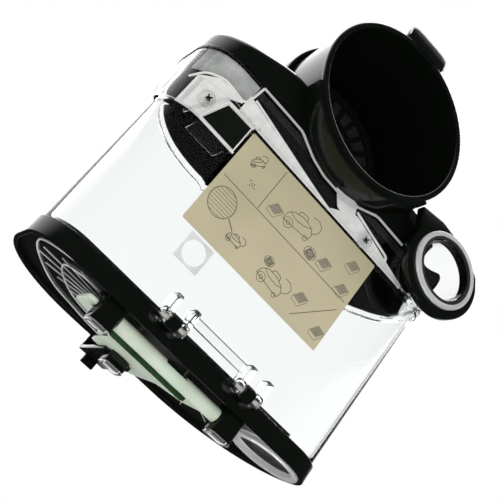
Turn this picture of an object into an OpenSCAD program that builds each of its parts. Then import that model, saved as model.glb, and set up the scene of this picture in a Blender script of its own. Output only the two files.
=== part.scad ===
// Dust container of a bagless canister vacuum cleaner: a clear tank with a hinged bottom
// lid and its release lever, a top frame that carries the inlet and a pull-out filter cup.
// X runs along the tank, -Y is the front with the label, and +Z points up.

/* [Plan outline] */
// Length of the lid and the top frame
cover_w = 224; // [200:1:270]
// Depth of the lid and the top frame
cover_d = 110; // [96:1:134]
// Front left corner radius
r_front_left = 26; // [20:1:32]
// Front right corner radius, round the lid port
r_front_right = 28; // [27:1:34]
// Back right corner radius
r_back_right = 82; // [60:1:90]
// Back left corner radius
r_back_left = 66; // [50:1:80]

/* [Heights] */
// Height of the feet under the lid's rim
foot_h = 16; // [13:0.5:20]
// Height of the lid's skirt
skirt_h = 12; // [10:0.5:15]
// Height of the clear tank, from the lid's rim to the frame
tank_h = 143; // [119:1:175]
// Height of the clear collar at the top of the tank
collar_h = 25; // [20:1:30]
// Height of the deep left end of the collar
pocket_h = 48; // [40:1:58]
// Height of the top frame's skirt
frame_h = 17; // [14:0.5:21]

/* [Walls] */
// Wall of the clear tank
tank_wall = 2.4; // [1.8:0.1:3]
// Inset of the tank's wall from the lid's edge
tank_inset = 2; // [1:0.1:3]
// Wall of the lid's skirt and of its plate
lid_wall = 3; // [2.4:0.1:3.6]
// Wall of the top frame
frame_wall = 3; // [2.4:0.1:3.6]
// Play between faces that nearly touch
gap = 0.4; // [0.3:0.05:0.6]

/* [Filter cup] */
// Outer radius of the filter cup
cup_r = 58.5; // [48:0.5:62]
// Depth of the filter cup
cup_len = 94; // [78:1:104]
// Wall of the filter cup
cup_wall = 3; // [2.4:0.1:3.6]
// Upward tilt of the cup and the inlet
cup_tilt = 12; // [6:0.5:16]
// Height of the cup mouth's centre above the tank's collar
cup_rise = 56; // [52:1:66]
// Distance of the cup mouth's centre ahead of the frame's front
cup_ahead = 8; // [4:0.5:14]
// Length of the cup that stands clear of its saddle
cup_free = 45; // [35:1:50]
// Radial play of the filter and its grille inside the cup
filter_play = 1.5; // [1.5:0.1:3]
// Width of the pull tab
tab_w = 28; // [20:1:34]
// Height of the pull tab above the lip
tab_h = 10; // [6:0.5:13]

/* [Inlet] */
// Bore radius of the inlet tube
inlet_r = 19.5; // [17:0.1:20.5]
// Wall of the inlet tube
inlet_wall = 2.5; // [2:0.1:3]
// Outer radius of the clear lip round the inlet's mouth
inlet_lip_r = 25.5; // [25:0.1:27]
// Distance of the inlet's centre from the right end
inlet_in = 23; // [20:0.5:28]
// Distance of the inlet mouth's centre ahead of the frame's front
inlet_ahead = 17; // [12:0.5:22]
// Length of the inlet tube
inlet_len = 52; // [44:1:60]

/* [Lid port] */
// Bore radius of the port in the lid
port_r = 20; // [16:0.1:20.5]
// Width of the ring round the port
port_rim = 4.5; // [3.5:0.1:5]

/* [Hinge and release lever] */
// Radius of the hinge pins
hinge_pin_r = 1.5; // [1.2:0.05:2]
// Radius of the hinge knuckles and lugs
knuckle_r = 4.6; // [4.2:0.1:5.4]
// Width of each lid knuckle
knuckle_w = 8; // [6:0.5:10]
// Radius of the lever's pivot rod
rod_r = 2; // [1.6:0.05:2.4]
// Radius of the rolled edge that turns on the rod
roll_r = 4.5; // [4.2:0.1:5]
// Radial play of the pins in what turns on them
pin_play = 0.06; // [0.03:0.01:0.09]
// Thickness of the release lever's plate
plate_t = 2.4; // [2:0.1:3]

/* [Hidden] */
$fn = 96;
eps = 0.01;

// Levels, from the surface that the feet stand on
rim_z = foot_h;
lid_top_z = rim_z + skirt_h;
tank_z = lid_top_z + gap;
collar_top_z = rim_z + skirt_h + tank_h;
collar_z = collar_top_z - collar_h;
pocket_z = collar_top_z - pocket_h;
frame_z = collar_top_z + gap;
frame_top_z = frame_z + frame_h;
plate_z = rim_z + 3;
front_y = -cover_d / 2;
back_y = cover_d / 2;
tank_front_y = front_y + tank_inset;

// The cup's mouth and the inlet's mouth, and the way they face
mouth = [0, front_y - cup_ahead, collar_top_z + cup_rise];
inlet_x = cover_w / 2 - inlet_in;
inlet_mouth = [inlet_x, front_y - inlet_ahead, collar_top_z + 1];
cup_bore = cup_r + 0.5;
saddle_r = cup_bore + frame_wall;
saddle_end = cup_len + 11;
tube_r = inlet_r + inlet_wall;

// The lid port shares its centre with the front right corner
port = [cover_w / 2 - r_front_right, front_y + r_front_right];
port_out = port_r + port_rim - 1.5;
port_len = 10;

// The hinge along the lid's front edge
hinge_x = [-25, 35];
hinge_y = front_y - knuckle_r - 1;
hinge_z = lid_top_z - 1;
lug_w = 5;
lug_x = knuckle_w / 2 + gap + lug_w / 2;

// The release lever under the lid
foot_x = [-52, 43];
foot_w = 15;
foot_d = 14;
foot_y = front_y + lid_wall + gap + foot_d / 2;
rod_z = rim_z - 6;
hook_x = -15;
hook_w = 22;
grip_y = 11;
hook_y = back_y + 1.2;
hook_t = 2.4;

// The label and the badge on the front
label_w = 114;
label_h = 69;
label_x = -1;
label_z = rim_z + 95;
label_t = 0.3;
badge_s = 18;
badge_x = -39;
badge_z = rim_z + 50;
panel_rise = 0.6;

screw_r = 1.5;
screw_len = 11;
head_r = 3.6;
head_t = 2;
boss_r = 5;
boss_t = 0.8;
screw_at = [[-92, pocket_z + 14], [39, collar_z + boss_r + gap]];

// The frame's plug, which reaches down inside the collar
plug_inset = tank_wall + 1.5;
plug_wall = 2.4;
plug_z = collar_z + 4;
pocket_x0 = -89;
pocket_x1 = label_x - label_w / 2 - gap;
pocket_y1 = -24;

// The whole is moved so that the middle of its box stands over the origin
catch_t = 3;
low_x = -cover_w / 2;
flange_r = 31;
high_x = inlet_x + flange_r;
low_y = inlet_mouth[1] - sin(cup_tilt) * inlet_lip_r;
high_y = hook_y + hook_t;
origin = [-(low_x + high_x) / 2, -(low_y + high_y) / 2, 0];

module placed() {
    translate(origin) children();
}

// Corner of the outline that is grown by o: its centre for the signs sx and sy
function corner_r(r, o) = max(r + o, 5);
function corner(sx, sy, r, o) = [
    sx * (cover_w / 2 + o - corner_r(r, o)), sy * (cover_d / 2 + o - corner_r(r, o))
];
function arc(c, r, from, n) = [
    for (i = [0:n]) c + r * [cos(from + 90 * i / n), sin(from + 90 * i / n)]
];
function outline(o) = concat(
    arc(corner(1, -1, r_front_right, o), corner_r(r_front_right, o), -90, 8),
    arc(corner(1, 1, r_back_right, o), corner_r(r_back_right, o), 0, 14),
    arc(corner(-1, 1, r_back_left, o), corner_r(r_back_left, o), 90, 12),
    arc(corner(-1, -1, r_front_left, o), corner_r(r_front_left, o), 180, 8)
);

// A slab with the object's outline, grown by o, from z0 to z1
module slab(o, z0, z1) {
    translate([0, 0, z0]) linear_extrude(z1 - z0) polygon(outline(o));
}

// An upright wall that follows the outline
module wall(o, t, z0, z1) {
    difference() {
        slab(o, z0, z1);
        slab(o - t, z0 - 1, z1 + 1);
    }
}

module box(low, high) {
    translate(low) cube(high - low);
}

// A rod along X, centred on x
module along_x(x, y, z, r, w) {
    translate([x - w / 2, y, z]) rotate([0, 90, 0]) cylinder(r = r, h = w);
}

// Moves to a mouth, with +Z along the way that it faces
module facing(at) {
    translate(at) rotate([90 - cup_tilt, 0, 0]) children();
}

// A plain rod behind a mouth, between two depths
module behind(at, r, from, to) {
    facing(at) translate([0, 0, -to]) cylinder(r = r, h = to - from);
}

// The hollow that the saddle and the inlet tube leave in what surrounds them
module mouth_cuts() {
    behind(mouth, saddle_r + gap, -40, saddle_end + gap);
    behind(inlet_mouth, tube_r + 0.1, -40, inlet_len + gap);
}

module clear_tank() {
    inner = tank_inset + tank_wall;
    placed() color("aliceblue", 0.35) difference() {
        union() {
            wall(-tank_inset, tank_wall, tank_z, collar_z + tank_wall);
            wall(0, inner, collar_z, collar_z + tank_wall);
            wall(0, tank_wall, collar_z, collar_top_z);
            tank_pocket();
            tank_panel();
            tank_hinge();
            for (s = screw_at) screw_boss(s, boss_r, front_y - boss_t, front_y + tank_wall);
        }
        pocket_opening();
        mouth_cuts();
        for (s = screw_at) screw_boss(s, screw_r + 0.2, front_y - 5, front_y + plug_inset + plug_wall);
        for (x = hinge_x) along_x(x, hinge_y, hinge_z, hinge_pin_r, 2 * (lug_x + lug_w));
    }
}

// The deep left end of the collar, as a shell round the frame's box
module tank_pocket() {
    intersection() {
        union() {
            wall(0, tank_wall, pocket_z, collar_z + tank_wall);
            wall(0, tank_inset + tank_wall, pocket_z, pocket_z + tank_wall);
        }
        box([-cover_w, -cover_d, pocket_z - 1], [pocket_x1, 0, collar_z + tank_wall]);
    }
    for (edge = [[pocket_x1 - tank_wall, front_y, pocket_x1, tank_front_y + 1],
                 [-cover_w / 2, -tank_wall, -cover_w / 2 + tank_inset + 1, 0]])
        box([edge[0], edge[1], pocket_z], [edge[2], edge[3], collar_z + tank_wall]);
}

// Opens the tank's own wall behind the pocket
module pocket_opening() {
    intersection() {
        slab(-tank_wall, pocket_z + tank_wall, collar_z + tank_wall + 1);
        box([-cover_w, -cover_d, pocket_z], [pocket_x1 - tank_wall, -tank_wall, collar_z + tank_wall + 1]);
    }
}

// The flat raised panel that the label is stuck on, with a slope at its right end
module tank_panel() {
    x0 = label_x - label_w / 2 - 2;
    x1 = label_x + label_w / 2 + 12;
    slope = 12;
    z0 = badge_z - badge_s / 2 - 4;
    z1 = collar_z - 1;
    face_y = tank_front_y - panel_rise;
    translate([0, 0, z0]) linear_extrude(z1 - z0)
        polygon([[x0, tank_front_y + 1], [x0, face_y], [x1, face_y], [x1 + slope, tank_front_y + 1]]);
}

// Lugs for the hinge pins, and the bar between them
module tank_hinge() {
    lug_top = hinge_z + 14;
    bar = [3, 5];
    for (x = hinge_x, side = [-1, 1]) {
        along_x(x + side * lug_x, hinge_y, hinge_z, knuckle_r, lug_w);
        box([x + side * lug_x - lug_w / 2, hinge_y - knuckle_r, hinge_z],
            [x + side * lug_x + lug_w / 2, hinge_y + knuckle_r, lug_top]);
        box([x + side * lug_x - lug_w / 2, hinge_y, tank_z],
            [x + side * lug_x + lug_w / 2, tank_front_y + 1, lug_top]);
    }
    box([hinge_x[0] + lug_x, tank_front_y - bar[0], lug_top - bar[1]],
        [hinge_x[1] - lug_x, tank_front_y + 1, lug_top]);
}

// The bracket at the back of the tank that the latch hook reaches into
module catch_bracket() {
    y0 = back_y + gap;
    cheek = 3;
    out_x = hook_w / 2 + gap + cheek;
    placed() color("aliceblue", 0.35) {
        for (side = [-1, 1])
            box([hook_x + side * out_x - (side + 1) / 2 * cheek, y0, rim_z - 6],
                [hook_x + side * out_x + (1 - side) / 2 * cheek, y0 + catch_t, tank_z + 1]);
        difference() {
            box([hook_x - out_x, back_y - tank_inset - 1, tank_z], [hook_x + out_x, y0 + catch_t, lid_top_z + 8]);
            slab(-tank_inset, 0, frame_z);
        }
    }
}

// A rod along Y, from y0 to y1, at a screw
module screw_boss(at, r, y0, y1) {
    translate([at[0], y0, at[1]]) rotate([-90, 0, 0]) cylinder(r = r, h = y1 - y0);
}

module instruction_label() {
    y = tank_front_y - panel_rise;
    placed() color("tan") box([label_x - label_w / 2, y - label_t, label_z - label_h / 2],
                     [label_x + label_w / 2, y, label_z + label_h / 2]);
}

// A plain square badge with a hollow round middle
module front_badge() {
    y = tank_front_y - panel_rise;
    placed() color("gainsboro") difference() {
        box([badge_x - badge_s / 2, y - label_t, badge_z - badge_s / 2],
            [badge_x + badge_s / 2, y, badge_z + badge_s / 2]);
        translate([badge_x, y + 1, badge_z]) rotate([90, 0, 0]) cylinder(r = badge_s * 0.42, h = 3);
    }
}

module hinge_pins() {
    placed() color("silver") for (x = hinge_x)
        along_x(x, hinge_y, hinge_z, hinge_pin_r, 2 * lug_x + lug_w);
}

module top_frame() {
    placed() color([0.05, 0.06, 0.05]) difference() {
        union() {
            wall(0, frame_wall, frame_z, frame_top_z);
            slab(0, frame_top_z - frame_wall, frame_top_z);
            wall(-plug_inset, plug_wall, plug_z, frame_top_z - 1);
            frame_pocket();
            frame_ramps();
            intersection() {
                slab(-plug_inset, pocket_z, collar_top_z);
                for (s = screw_at) screw_boss(s, boss_r - 0.5, front_y, front_y + screw_len + 3);
            }
        }
        behind(mouth, saddle_r, -40, saddle_end);
        behind(inlet_mouth, tube_r, -40, inlet_len + gap);
        for (s = screw_at) screw_boss(s, screw_r, front_y - 1, front_y + screw_len + 1);
    }
}

// The air's way in, near the back of the seat
window_w = 60;
window_l = 5;
window_at = -cup_len - 7;

// The deep round seat of the filter cup, with the air's way in through its underside
module filter_housing() {
    placed() color([0.05, 0.06, 0.05]) difference() {
        behind(mouth, saddle_r, cup_free, saddle_end);
        behind(mouth, cup_bore, 0, saddle_end - frame_wall);
        intake_window();
    }
}

module intake_window() {
    facing(mouth) translate([-window_w / 2, -saddle_r - 5, window_at]) cube([window_w, 30, window_l]);
}

// The trough that carries the cup in front of its housing
module front_cradle() {
    placed() color([0.05, 0.06, 0.05]) difference() {
        intersection() {
            behind(mouth, saddle_r, 0, cup_free);
            slab(0, collar_z, frame_top_z + 6);
        }
        behind(mouth, cup_bore, -1, cup_free + 1);
    }
}

// A closed box that hangs from the frame into the deep end of the collar
module frame_pocket() {
    x1 = pocket_x1 - plug_inset;
    z0 = pocket_z + tank_wall + 1;
    difference() {
        intersection() {
            slab(-plug_inset, z0, frame_top_z - 1);
            box([pocket_x0, -cover_d, z0], [x1, pocket_y1, frame_top_z - 1]);
        }
        intersection() {
            slab(-plug_inset - plug_wall, z0 + plug_wall, frame_top_z - frame_wall);
            box([pocket_x0 + plug_wall, -cover_d, z0],
                [x1 - plug_wall, pocket_y1 - plug_wall, frame_top_z]);
        }
    }
}

// The slopes that lead up from the frame's ends to the saddle
module frame_ramps() {
    rise = 11;
    foot_at = cover_w / 2 - 14;
    top_at = saddle_r - 6;
    back_at = back_y - 30;
    for (side = [-1, 1])
        translate([0, back_at, 0]) rotate([90, 0, 0]) linear_extrude(back_at - front_y - 4)
            polygon([[side * foot_at, frame_top_z - 1], [side * top_at, frame_top_z + rise],
                     [side * (top_at - 6), frame_top_z + rise], [side * (top_at - 6), frame_top_z - 1]]);
}

// The flange behind the inlet's lip, and the arm that ties it to the frame
module inlet_flange() {
    face_at = -3;
    flange_t = 6;
    arm_t = 14;
    web = [[-flange_r, 0], [-35, 24], [-16, 29], [8, 26], [25, 18], [0, 0]];
    arm = [[-24, -2], [-34, 23], [-16, 28], [8, 25], [20, 10]];
    placed() color([0.05, 0.06, 0.05]) difference() {
        facing(inlet_mouth) {
            translate([0, 0, face_at - flange_t]) linear_extrude(flange_t) {
                circle(r = flange_r);
                polygon(web);
            }
            translate([0, 0, face_at - flange_t / 2 - arm_t]) linear_extrude(arm_t) polygon(arm);
        }
        behind(inlet_mouth, tube_r, -40, inlet_len + gap);
        behind(mouth, saddle_r, -1, saddle_end);
        box([0, front_y, 0], [cover_w, back_y, frame_top_z + 14]);
    }
}

module frame_gasket() {
    placed() color("dimgray") difference() {
        wall(-tank_wall - 0.1, plug_inset - tank_wall - 0.1, collar_top_z - 7, collar_top_z - 2);
        mouth_cuts();
    }
}

module frame_screws() {
    y0 = front_y - boss_t;
    placed() color("silver") for (s = screw_at) difference() {
        union() {
            screw_boss(s, head_r, y0 - head_t, y0);
            screw_boss(s, screw_r, y0 - 1, front_y + screw_len);
        }
        for (turn = [45, 135])
            translate([s[0], y0 - head_t, s[1]]) rotate([0, turn, 0])
                cube([head_r + screw_r / 2, head_t, screw_r / 2], center = true);
    }
}

module inlet_tube() {
    placed() color("aliceblue", 0.35) difference() {
        behind(inlet_mouth, tube_r, 1.5, inlet_len);
        behind(inlet_mouth, inlet_r, -1, inlet_len + 1);
    }
}

module inlet_lip() {
    placed() color("aliceblue", 0.5) difference() {
        behind(inlet_mouth, inlet_lip_r, 0, 3);
        behind(inlet_mouth, tube_r + eps, -1, 4);
    }
}

module inlet_seal() {
    placed() color("dimgray") difference() {
        behind(inlet_mouth, tube_r, 0.2, 1.5);
        behind(inlet_mouth, inlet_r + 0.8, -1, 2);
    }
}

// The slotted screen over the way from the tank to the cup
module intake_screen() {
    screen_w = window_w + 8;
    slot_step = 4.5;
    bar_to = window_w / 2 - 3;
    placed() color("gray") difference() {
        intersection() {
            behind(mouth, saddle_r + 1.4, cup_len - 2, saddle_end);
            facing(mouth) translate([-screen_w / 2, -saddle_r - 5, -saddle_end])
                cube([screen_w, 32, saddle_end - cup_len + 2]);
        }
        behind(mouth, saddle_r, 0, saddle_end + 1);
        for (x = [-bar_to:slot_step:bar_to])
            facing(mouth) translate([x - 1.2, -saddle_r - 5, window_at]) cube([2.4, 32, window_l]);
    }
}

lip_inset = tank_inset + tank_wall + 0.5;
lip_wall = 2;
rib_t = 1.4;

module bottom_lid() {
    placed() color([0.05, 0.06, 0.05]) difference() {
        union() {
            wall(0, lid_wall, rim_z, lid_top_z);
            slab(-lid_wall + eps, plate_z, plate_z + lid_wall);
            wall(-lip_inset, lip_wall, plate_z, lid_top_z + 3);
            lid_ribs();
            for (x = hinge_x) {
                along_x(x, hinge_y, hinge_z, knuckle_r, knuckle_w);
                box([x - knuckle_w / 2, hinge_y, hinge_z - knuckle_r],
                    [x + knuckle_w / 2, front_y + 1, lid_top_z]);
            }
        }
        translate([port[0], port[1], rim_z - 1]) cylinder(r = port_out, h = 2 * skirt_h);
        for (x = hinge_x) along_x(x, hinge_y, hinge_z, hinge_pin_r + pin_play, 2 * knuckle_w);
    }
}

// Two loops of ribs and the spokes between them, on the lid's underside
module lid_ribs() {
    outer = -11;
    inner = -29;
    z0 = plate_z - 2;
    difference() {
        union() {
            wall(outer, rib_t, z0, plate_z + 1);
            wall(inner, rib_t, z0, plate_z + 1);
            intersection() {
                wall(-1, -inner, z0, plate_z + 1);
                union() {
                    for (turn = [100:26:256]) rib_spoke([-46, -12], turn);
                    for (turn = [8:24:80]) rib_spoke([30, -27], turn);
                }
            }
        }
        translate([port[0], port[1], z0 - 1]) cylinder(r = port_r + port_rim + gap, h = 9);
        for (x = foot_x) box([x - foot_w / 2 - gap, front_y, z0 - 1],
                             [x + foot_w / 2 + gap, foot_y + foot_d / 2 + gap, plate_z]);
    }
}

module rib_spoke(from, turn) {
    translate([from[0], from[1], plate_z - 2]) rotate([0, 0, turn])
        translate([0, -rib_t / 2, 0]) cube([cover_w / 2, rib_t, 3]);
}

module lid_gasket() {
    placed() color("dimgray") wall(-lid_wall - 0.1, lip_inset - lid_wall - 0.2, plate_z + lid_wall, lid_top_z);
}

module port_ring() {
    placed() color("whitesmoke") translate([port[0], port[1], 0]) difference() {
        union() {
            translate([0, 0, rim_z - 1]) cylinder(r = port_r + port_rim, h = 4);
            translate([0, 0, rim_z]) cylinder(r = port_out, h = port_len);
        }
        translate([0, 0, rim_z - 2]) cylinder(r = port_r, h = port_len + 4);
    }
}

module port_seal() {
    placed() color("dimgray") translate([port[0], port[1], rim_z + port_len]) difference() {
        cylinder(r = port_out - 0.3, h = 2.2);
        translate([0, 0, -1]) cylinder(r = port_r + 0.8, h = 4);
    }
}

// A block with its upright corners cut off
module block(x, y, w, d, z0, z1, cut) {
    translate([x, y, z0]) linear_extrude(z1 - z0) polygon([
        [-w / 2 + cut, -d / 2], [w / 2 - cut, -d / 2], [w / 2, -d / 2 + cut], [w / 2, d / 2 - cut],
        [w / 2 - cut, d / 2], [-w / 2 + cut, d / 2], [-w / 2, d / 2 - cut], [-w / 2, -d / 2 + cut]
    ]);
}

module front_feet() {
    placed() color([0.08, 0.08, 0.08]) for (x = foot_x) difference() {
        block(x, foot_y, foot_w, foot_d, 0, plate_z, 2);
        block(x, foot_y, foot_w - 5, foot_d - 5, -1, 1, 1);
        along_x(x, foot_y, rod_z, rod_r, foot_w + 2);
    }
}

module pivot_rod() {
    placed() color("silver") along_x((foot_x[0] + foot_x[1]) / 2, foot_y, rod_z, rod_r,
                            foot_x[1] - foot_x[0] + foot_w - 2);
}

spring_x = [-9, 7];
wire_r = 0.6;

module lever_spring() {
    coil_r = rod_r + 0.9 + wire_r;
    step = 2 * wire_r + 0.1;
    x0 = spring_x[0] + 2;
    x1 = x0 + 8 * step;
    placed() color("silver") {
        for (x = [x0:step - 0.2:x1])
            translate([x, foot_y, rod_z]) rotate([0, 90, 0])
                rotate_extrude() translate([coil_r, 0]) circle(r = wire_r, $fn = 16);
        translate([x0, foot_y, rod_z - coil_r]) rotate([-90, 0, 0]) cylinder(r = wire_r, h = 18, $fn = 16);
        translate([x1 - 0.3, foot_y - coil_r, rod_z]) cylinder(r = wire_r, h = plate_z - rod_z - 0.3, $fn = 16);
    }
}

module release_lever() {
    x0 = foot_x[0] + foot_w / 2 + gap;
    x1 = foot_x[1] - foot_w / 2 - gap;
    behind_y = foot_y + foot_d / 2 + gap;
    ear_x = foot_x[0] - foot_w / 2 - gap;
    placed() color([0.86, 0.92, 0.84]) difference() {
        union() {
            along_x((x0 + x1) / 2, foot_y, rod_z, roll_r, x1 - x0);
            translate([0, 0, rod_z - plate_t / 2]) linear_extrude(plate_t) polygon([
                [x0, foot_y], [x1, foot_y], [x1, behind_y], [x1 - 10, behind_y + 22],
                [hook_x + 24, behind_y + 33], [hook_x + 17, grip_y + 15], [hook_x - 17, grip_y + 15],
                [hook_x - 20, behind_y + 26], [ear_x - 7, behind_y + 12], [ear_x - 7, foot_y - 4],
                [ear_x, foot_y - 4], [ear_x, behind_y], [x0, behind_y]
            ]);
        }
        along_x((x0 + x1) / 2, foot_y, rod_z, rod_r + pin_play, x1 - x0 + gap);
        box([spring_x[0], foot_y - roll_r - 1, 0], [spring_x[1], foot_y + roll_r + 1, rim_z]);
        for (x = hook_screw_x) translate([x, hook_screw_y, 0]) cylinder(r = hook_screw_r, h = rim_z);
    }
}

hook_screw_x = [hook_x - 6, hook_x + 6];
hook_screw_y = grip_y + 11;
hook_screw_r = 1.2;

// The grip, and the tongue that reaches the catch and ends in a pull that stands on the ground
module latch_hook() {
    under = rod_z - plate_t / 2;
    tongue_t = 3;
    placed() color([0.05, 0.06, 0.05]) difference() {
        union() {
            block(hook_x, grip_y, foot_w, foot_d, 0, under, 2);
            box([hook_x - hook_w / 2, grip_y, under - tongue_t], [hook_x + hook_w / 2, hook_y + hook_t, under]);
            box([hook_x - hook_w / 2, hook_y - gap, 0],
                [hook_x + hook_w / 2, hook_y + hook_t, lid_top_z - 4]);
        }
        block(hook_x, grip_y, foot_w - 5, foot_d - 5, -1, 1, 1);
        for (x = hook_screw_x) translate([x, hook_screw_y, 0]) cylinder(r = hook_screw_r, h = rim_z);
    }
}

module hook_screws() {
    top = rod_z + plate_t / 2;
    placed() color("silver") for (x = hook_screw_x) translate([x, hook_screw_y, 0]) {
        translate([0, 0, top - 5]) cylinder(r = hook_screw_r, h = 5.5);
        translate([0, 0, top]) cylinder(r = 2.4, h = 1.4);
    }
}

module filter_cup() {
    placed() color([0.04, 0.05, 0.04]) facing(mouth) {
        difference() {
            union() {
                translate([0, 0, -cup_len]) cylinder(r = cup_r, h = cup_len);
                translate([0, 0, -3]) cylinder(r = cup_r + 1.2, h = 3);
                pull_tab();
            }
            translate([0, 0, -cup_len + cup_wall]) cylinder(r = cup_r - cup_wall, h = cup_len);
            translate([0, 0, -cup_len - 1]) cylinder(r = cup_r * 0.6, h = cup_wall + 2);
        }
    }
}

module pull_tab() {
    round_r = 5;
    y1 = cup_r + tab_h;
    tab_turn = 8;
    tab_t = 4;
    rotate([0, 0, tab_turn]) translate([0, 0, -tab_t]) linear_extrude(tab_t) {
        translate([-tab_w / 2 + round_r, y1 - round_r]) circle(r = round_r);
        translate([tab_w / 2 - round_r, y1 - round_r]) circle(r = round_r);
        translate([-tab_w / 2, cup_r - 6]) square([tab_w, tab_h + 6 - round_r]);
        translate([-tab_w / 2 + round_r, cup_r]) square([tab_w - 2 * round_r, tab_h]);
    }
}

module cup_seal() {
    seal_t = 2.5;
    seal_w = 5;
    placed() color("dimgray") facing(mouth) translate([0, 0, -cup_len - seal_t]) difference() {
        cylinder(r = cup_r - seal_w, h = seal_t);
        translate([0, 0, -1]) cylinder(r = cup_r - 2 * seal_w, h = seal_t + 2);
    }
}

foam_t = 12;
grille_t = 2;
filter_r = cup_r - cup_wall - filter_play;
slot_w = 3.2;

module foam_filter() {
    placed() color("darkslategray") facing(mouth) translate([0, 0, -cup_len + cup_wall])
        cylinder(r = filter_r, h = foam_t);
}

module cup_grille() {
    placed() color("black") facing(mouth) translate([0, 0, -cup_len + cup_wall + foam_t]) difference() {
        cylinder(r = filter_r, h = grille_t);
        for (turn = [0:15:345]) rotate([0, 0, turn])
            translate([filter_r * 0.35, -slot_w / 2, -1]) cube([filter_r * 0.53, slot_w, grille_t + 2]);
    }
}

module grille_grip() {
    placed() color("black") facing(mouth) translate([0, 0, -cup_len + cup_wall + foam_t + grille_t]) {
        cylinder(r = 8, h = 3);
        translate([-6, -1.2, 0]) cube([12, 2.4, 8]);
    }
}

clear_tank();
catch_bracket();
instruction_label();
front_badge();
hinge_pins();
top_frame();
filter_housing();
front_cradle();
inlet_flange();
frame_gasket();
frame_screws();
inlet_tube();
inlet_lip();
inlet_seal();
intake_screen();
bottom_lid();
lid_gasket();
port_ring();
port_seal();
front_feet();
pivot_rod();
lever_spring();
release_lever();
latch_hook();
hook_screws();
filter_cup();
cup_seal();
cup_grille();
foam_filter();
grille_grip();
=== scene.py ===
from math import cos, pi, radians, sin, sqrt, tan

import bmesh
import bpy
from mathutils import Matrix, Vector


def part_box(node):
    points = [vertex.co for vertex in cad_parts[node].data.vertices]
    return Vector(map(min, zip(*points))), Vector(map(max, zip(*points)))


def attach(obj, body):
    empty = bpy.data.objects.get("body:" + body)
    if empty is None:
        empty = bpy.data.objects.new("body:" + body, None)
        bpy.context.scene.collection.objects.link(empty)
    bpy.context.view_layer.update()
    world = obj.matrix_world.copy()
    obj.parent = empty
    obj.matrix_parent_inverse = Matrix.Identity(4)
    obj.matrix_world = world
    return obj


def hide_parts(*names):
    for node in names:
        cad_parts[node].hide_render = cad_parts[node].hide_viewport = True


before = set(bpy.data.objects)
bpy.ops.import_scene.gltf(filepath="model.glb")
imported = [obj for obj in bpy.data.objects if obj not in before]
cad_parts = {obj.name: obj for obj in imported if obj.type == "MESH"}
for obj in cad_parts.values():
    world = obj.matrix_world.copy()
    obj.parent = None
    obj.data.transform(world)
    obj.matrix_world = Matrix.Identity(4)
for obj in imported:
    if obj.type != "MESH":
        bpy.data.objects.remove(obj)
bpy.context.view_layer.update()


# The view: a long lens from below the front left, rolled so that the tank seems to
# tumble. The world is white where it is seen or shines through clear plastic, and
# for reflections it is bright behind and above the tank and dark on the near side.
aim = Vector((-0.0022, 0.0041, 0.113))
distance, lens_mm, sensor_mm = 0.56, 63.09, 36
azimuth, elevation, roll = radians(-18.64), radians(-22.34), radians(-38.97)
back = Vector((sin(azimuth) * cos(elevation), -cos(azimuth) * cos(elevation), sin(elevation)))
level_right = Vector((0, 0, 1)).cross(back).normalized()
level_up = back.cross(level_right)
right = level_right * cos(roll) - level_up * sin(roll)
up = level_up * cos(roll) + level_right * sin(roll)
camera = bpy.data.objects.new("camera", bpy.data.cameras.new("camera"))
camera.data.lens = lens_mm
camera.data.sensor_width = sensor_mm
camera.matrix_world = (Matrix.Translation(aim + back * distance)
                       @ Matrix((right, up, back)).transposed().to_4x4())
bpy.context.scene.collection.objects.link(camera)
bpy.context.scene.camera = camera
bpy.context.scene.view_settings.view_transform = "Standard"

world = bpy.data.worlds.new("studio")
bpy.context.scene.world = world
world.use_nodes = True
sky, sky_links = world.node_tree.nodes, world.node_tree.links
sky.clear()
far_light, near_light, low_light = 2.4, 0.01, 0.012
wall_light, room_light = 0.75, 0.95
bright_way = Vector((-0.35, 0.80, 0.49)).normalized()


def sky_math(kind, a, b, c=None):
    """One Math node of the world, whose inputs are numbers or sockets."""
    node = sky.new("ShaderNodeMath")
    node.operation = kind
    for socket, value in zip(node.inputs, (a, b, c)):
        if isinstance(value, (int, float)):
            socket.default_value = value
        elif value is not None:
            sky_links.new(value, socket)
    return node.outputs[0]


def sky_slope(value, start, end, low, high):
    """A smooth step of the world's light between two values of a socket."""
    node = sky.new("ShaderNodeMapRange")
    node.interpolation_type = "SMOOTHSTEP"
    for key, number in (("From Min", start), ("From Max", end), ("To Min", low), ("To Max", high)):
        node.inputs[key].default_value = number
    sky_links.new(value, node.inputs["Value"])
    return node.outputs["Result"]


ray = sky.new("ShaderNodeLightPath").outputs
direction = sky.new("ShaderNodeTexCoord").outputs["Generated"]
far_side = sky.new("ShaderNodeVectorMath")
far_side.operation = "DOT_PRODUCT"
far_side.inputs[1].default_value = bright_way
sky_links.new(direction, far_side.inputs[0])
height = sky.new("ShaderNodeSeparateXYZ")
sky_links.new(direction, height.inputs[0])
above = sky_slope(height.outputs["Z"], -0.12, 0.2, 0.0, 1.0)
mirrored = sky_math("MULTIPLY_ADD", sky_slope(far_side.outputs["Value"], 0.05, 0.85, near_light, far_light),
                    above, low_light)
reflected = sky_math("MINIMUM", ray["Glossy Depth"], 1)
scattered = sky_math("MINIMUM", ray["Diffuse Depth"], 1)
glow = sky_math("SUBTRACT", 1, sky_math("MAXIMUM", reflected, scattered))
in_wall = sky_math("MULTIPLY", sky_math("GREATER_THAN", ray["Transmission Depth"], 0.5),
                   sky_math("LESS_THAN", ray["Transmission Depth"], 3.5))
mirrored = sky_math("MAXIMUM", mirrored, sky_math("MULTIPLY", in_wall, wall_light))
only_mirror = sky_math("MULTIPLY", reflected, sky_math("SUBTRACT", 1, scattered))
strength = sky_math("MULTIPLY_ADD", only_mirror, mirrored, glow)
strength = sky_math("MULTIPLY_ADD", scattered, room_light, strength)
background = sky.new("ShaderNodeBackground")
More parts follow.
